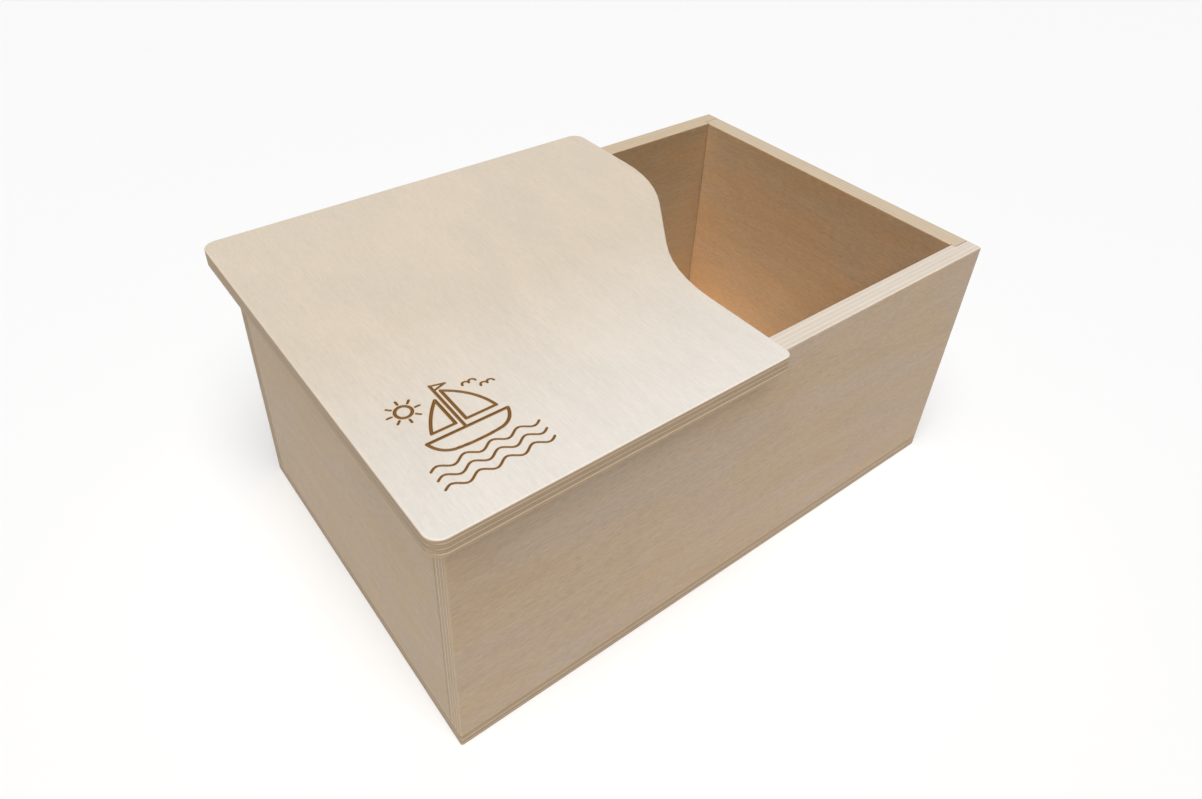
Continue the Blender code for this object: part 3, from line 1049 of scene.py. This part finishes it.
def make_screws(material):
    """Countersunk wood screws: a head with a cross recess, a shank and a thread.

    The thread is a ridge on a core: with p the height over the pitch less the turn,
    and w the distance of p from a whole number, the ridge keeps the share
    1 - w / THREAD_RIDGE of its height, and it fades out at the tip and the shank.
    """
    angle = TURN * np.arange(SCREW_SIDES) / SCREW_SIDES
    screws = upright("base_screw", SCREW_COUNT)
    for number, (centre, head, low, high) in enumerate(screws, start=1):
        surface = Surface()
        ring = np.linspace(0.0, head - HEAD_BEVEL, HEAD_RINGS + 1)[1:, None]
        x, y = ring * np.cos(angle), ring * np.sin(angle)
        face = np.stack([x, y, low + cross_recess(x, y)], -1)
        cone = head - SCREW_RADIUS
        unthreaded = [low + HEAD_EDGE, low + cone, low + cone + NECK]
        threaded = np.arange(low + THREAD_START, high - THREAD_STEP, THREAD_STEP)
        height = np.concatenate([unthreaded, threaded])
        taper = np.clip((high - height) / SCREW_TIP, SCREW_BLUNTNESS, 1.0)
        radius = np.where(height < low + cone / 2, head, SCREW_RADIUS * taper)
        share = np.clip((height - low - THREAD_START) / SCREW_PITCH, 0, 1) * taper
        p = height[:, None] / SCREW_PITCH - angle / TURN
        w = np.abs(p - np.round(p))
        ridge = np.clip(1 - w / THREAD_RIDGE, 0, 1)
        sunk = (SCREW_RADIUS - SCREW_CORE) * (1 - ridge) * share[:, None]
        r = radius[:, None] - sunk
        shank = [r * np.cos(angle), r * np.sin(angle), height[:, None] + 0 * angle]
        block = np.concatenate([face, np.stack(shank, -1)]) + np.array([*centre, 0.0])
        numbers = surface.add(block)
        surface.skin(numbers)
        surface.fan(numbers[0], (*centre, low + RECESS_DEPTH), False)
        surface.fan(numbers[-1], (*centre, high), True)
        name = f"base_fixing_{number}"
        node = f"base_screw_{number}"
        surface.finish(name, material, "zinc_plated_steel", "box", node)


def make_boards():
    """All six boards, each cut from its own part of the plywood pattern."""
    x, y, z = 0, 1, 2
    walls = (
        ("front_wall", long_wall_plan, -1, y, x, FRONT_WALL, (0.3, 0.1, 0.0)),
        ("back_wall", long_wall_plan, 1, y, x, BACK_WALL, (1.1, 0.7, 0.0)),
        ("left_wall", end_wall_plan, -1, x, y, LEFT_WALL, (2.3, 1.2, 0.0)),
        ("right_wall", end_wall_plan, 1, x, y, RIGHT_WALL, (3.7, 2.0, 0.0)),
    )
    for seed, (node, plan, side, stack, grain, look, offset) in enumerate(walls, start=1):
        plywood = birch_plywood(node, stack, grain, -side, look, offset)
        make_wall(node, plan(*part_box(node), side), plywood, seed)
    make_base(birch_plywood("base_panel", z, x, 1, BASE, (4.9, 3.1, 0.0)), 5)
    make_lid(birch_plywood("lid_panel", z, y, -1, LID, (5.3, 4.4, 0.0)), 2)


# ---------------------------------------------------------------- setting


def make_floor(material):
    """A plain pale floor, much wider than the view."""
    steps = np.linspace(-FLOOR_HALF, FLOOR_HALF, FLOOR_STEPS)
    x, y = np.meshgrid(steps, steps)
    surface = Surface()
    numbers = surface.add(np.stack([x, y, 0 * x - FLOOR_DROP], -1))
    surface.skin(numbers, around=False)
    mesh = bpy.data.meshes.new("floor")
    mesh.from_pydata(np.concatenate(surface.points).tolist(), [], surface.faces)
    mesh.materials.append(material)
    floor = bpy.data.objects.new("floor", mesh)
    bpy.context.scene.collection.objects.link(floor)


def make_lights():
    """Two very large soft boxes, so far off that they light all parts evenly."""
    for name, (place, spread, power) in LIGHTS.items():
        data = bpy.data.lights.new(name, "SUN")
        data.energy = power
        data.angle = spread
        light = bpy.data.objects.new(name, data)
        light.rotation_euler = (-Vector(place)).to_track_quat("-Z", "Y").to_euler()
        bpy.context.scene.collection.objects.link(light)


def make_world():
    """Even studio light: brighter round the horizon and dimmer overhead."""
    world = bpy.data.worlds.new("studio")
    world.use_nodes = True
    tree = world.node_tree
    coords = add(tree, "TexCoord")
    direction = add(tree, "SeparateXYZ", {0: coords.outputs["Generated"]})
    light = {0: direction.outputs[2], 2: HORIZON_TOP, 3: HORIZON_LIGHT, 4: SKY_LIGHT}
    light = add(tree, "MapRange", light, interpolation_type="SMOOTHSTEP")
    feed(tree, tree.nodes["Background"], {"Strength": light})
    bpy.context.scene.world = world


def make_camera():
    """The camera, turned a little about its own axis, and shifted to frame the box."""
    data = bpy.data.cameras.new("camera")
    data.sensor_width = SENSOR_WIDTH
    data.lens = LENS
    data.shift_x, data.shift_y = SHIFT
    data.clip_start, data.clip_end = NEAREST, FARTHEST
    camera = bpy.data.objects.new("camera", data)
    place, aim = Vector(CAMERA_PLACE), Vector(CAMERA_AIM)
    level = (aim - place).to_track_quat("-Z", "Y")
    camera.rotation_mode = "QUATERNION"
    camera.rotation_quaternion = level @ Quaternion((0, 0, 1), CAMERA_ROLL)
    camera.location = place
    bpy.context.scene.collection.objects.link(camera)
    bpy.context.scene.camera = camera


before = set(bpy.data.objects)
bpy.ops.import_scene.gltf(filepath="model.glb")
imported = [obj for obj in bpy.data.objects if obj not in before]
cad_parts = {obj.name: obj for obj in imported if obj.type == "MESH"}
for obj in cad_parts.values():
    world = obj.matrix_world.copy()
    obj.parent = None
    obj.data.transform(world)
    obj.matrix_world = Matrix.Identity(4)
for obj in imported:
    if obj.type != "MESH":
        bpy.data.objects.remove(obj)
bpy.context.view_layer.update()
make_boards()
make_dowels(beech_dowel())
make_screws(zinc_plated_steel())
make_floor(matt_white_card())
make_lights()
make_world()
make_camera()
bpy.context.scene.view_settings.view_transform = "Standard"
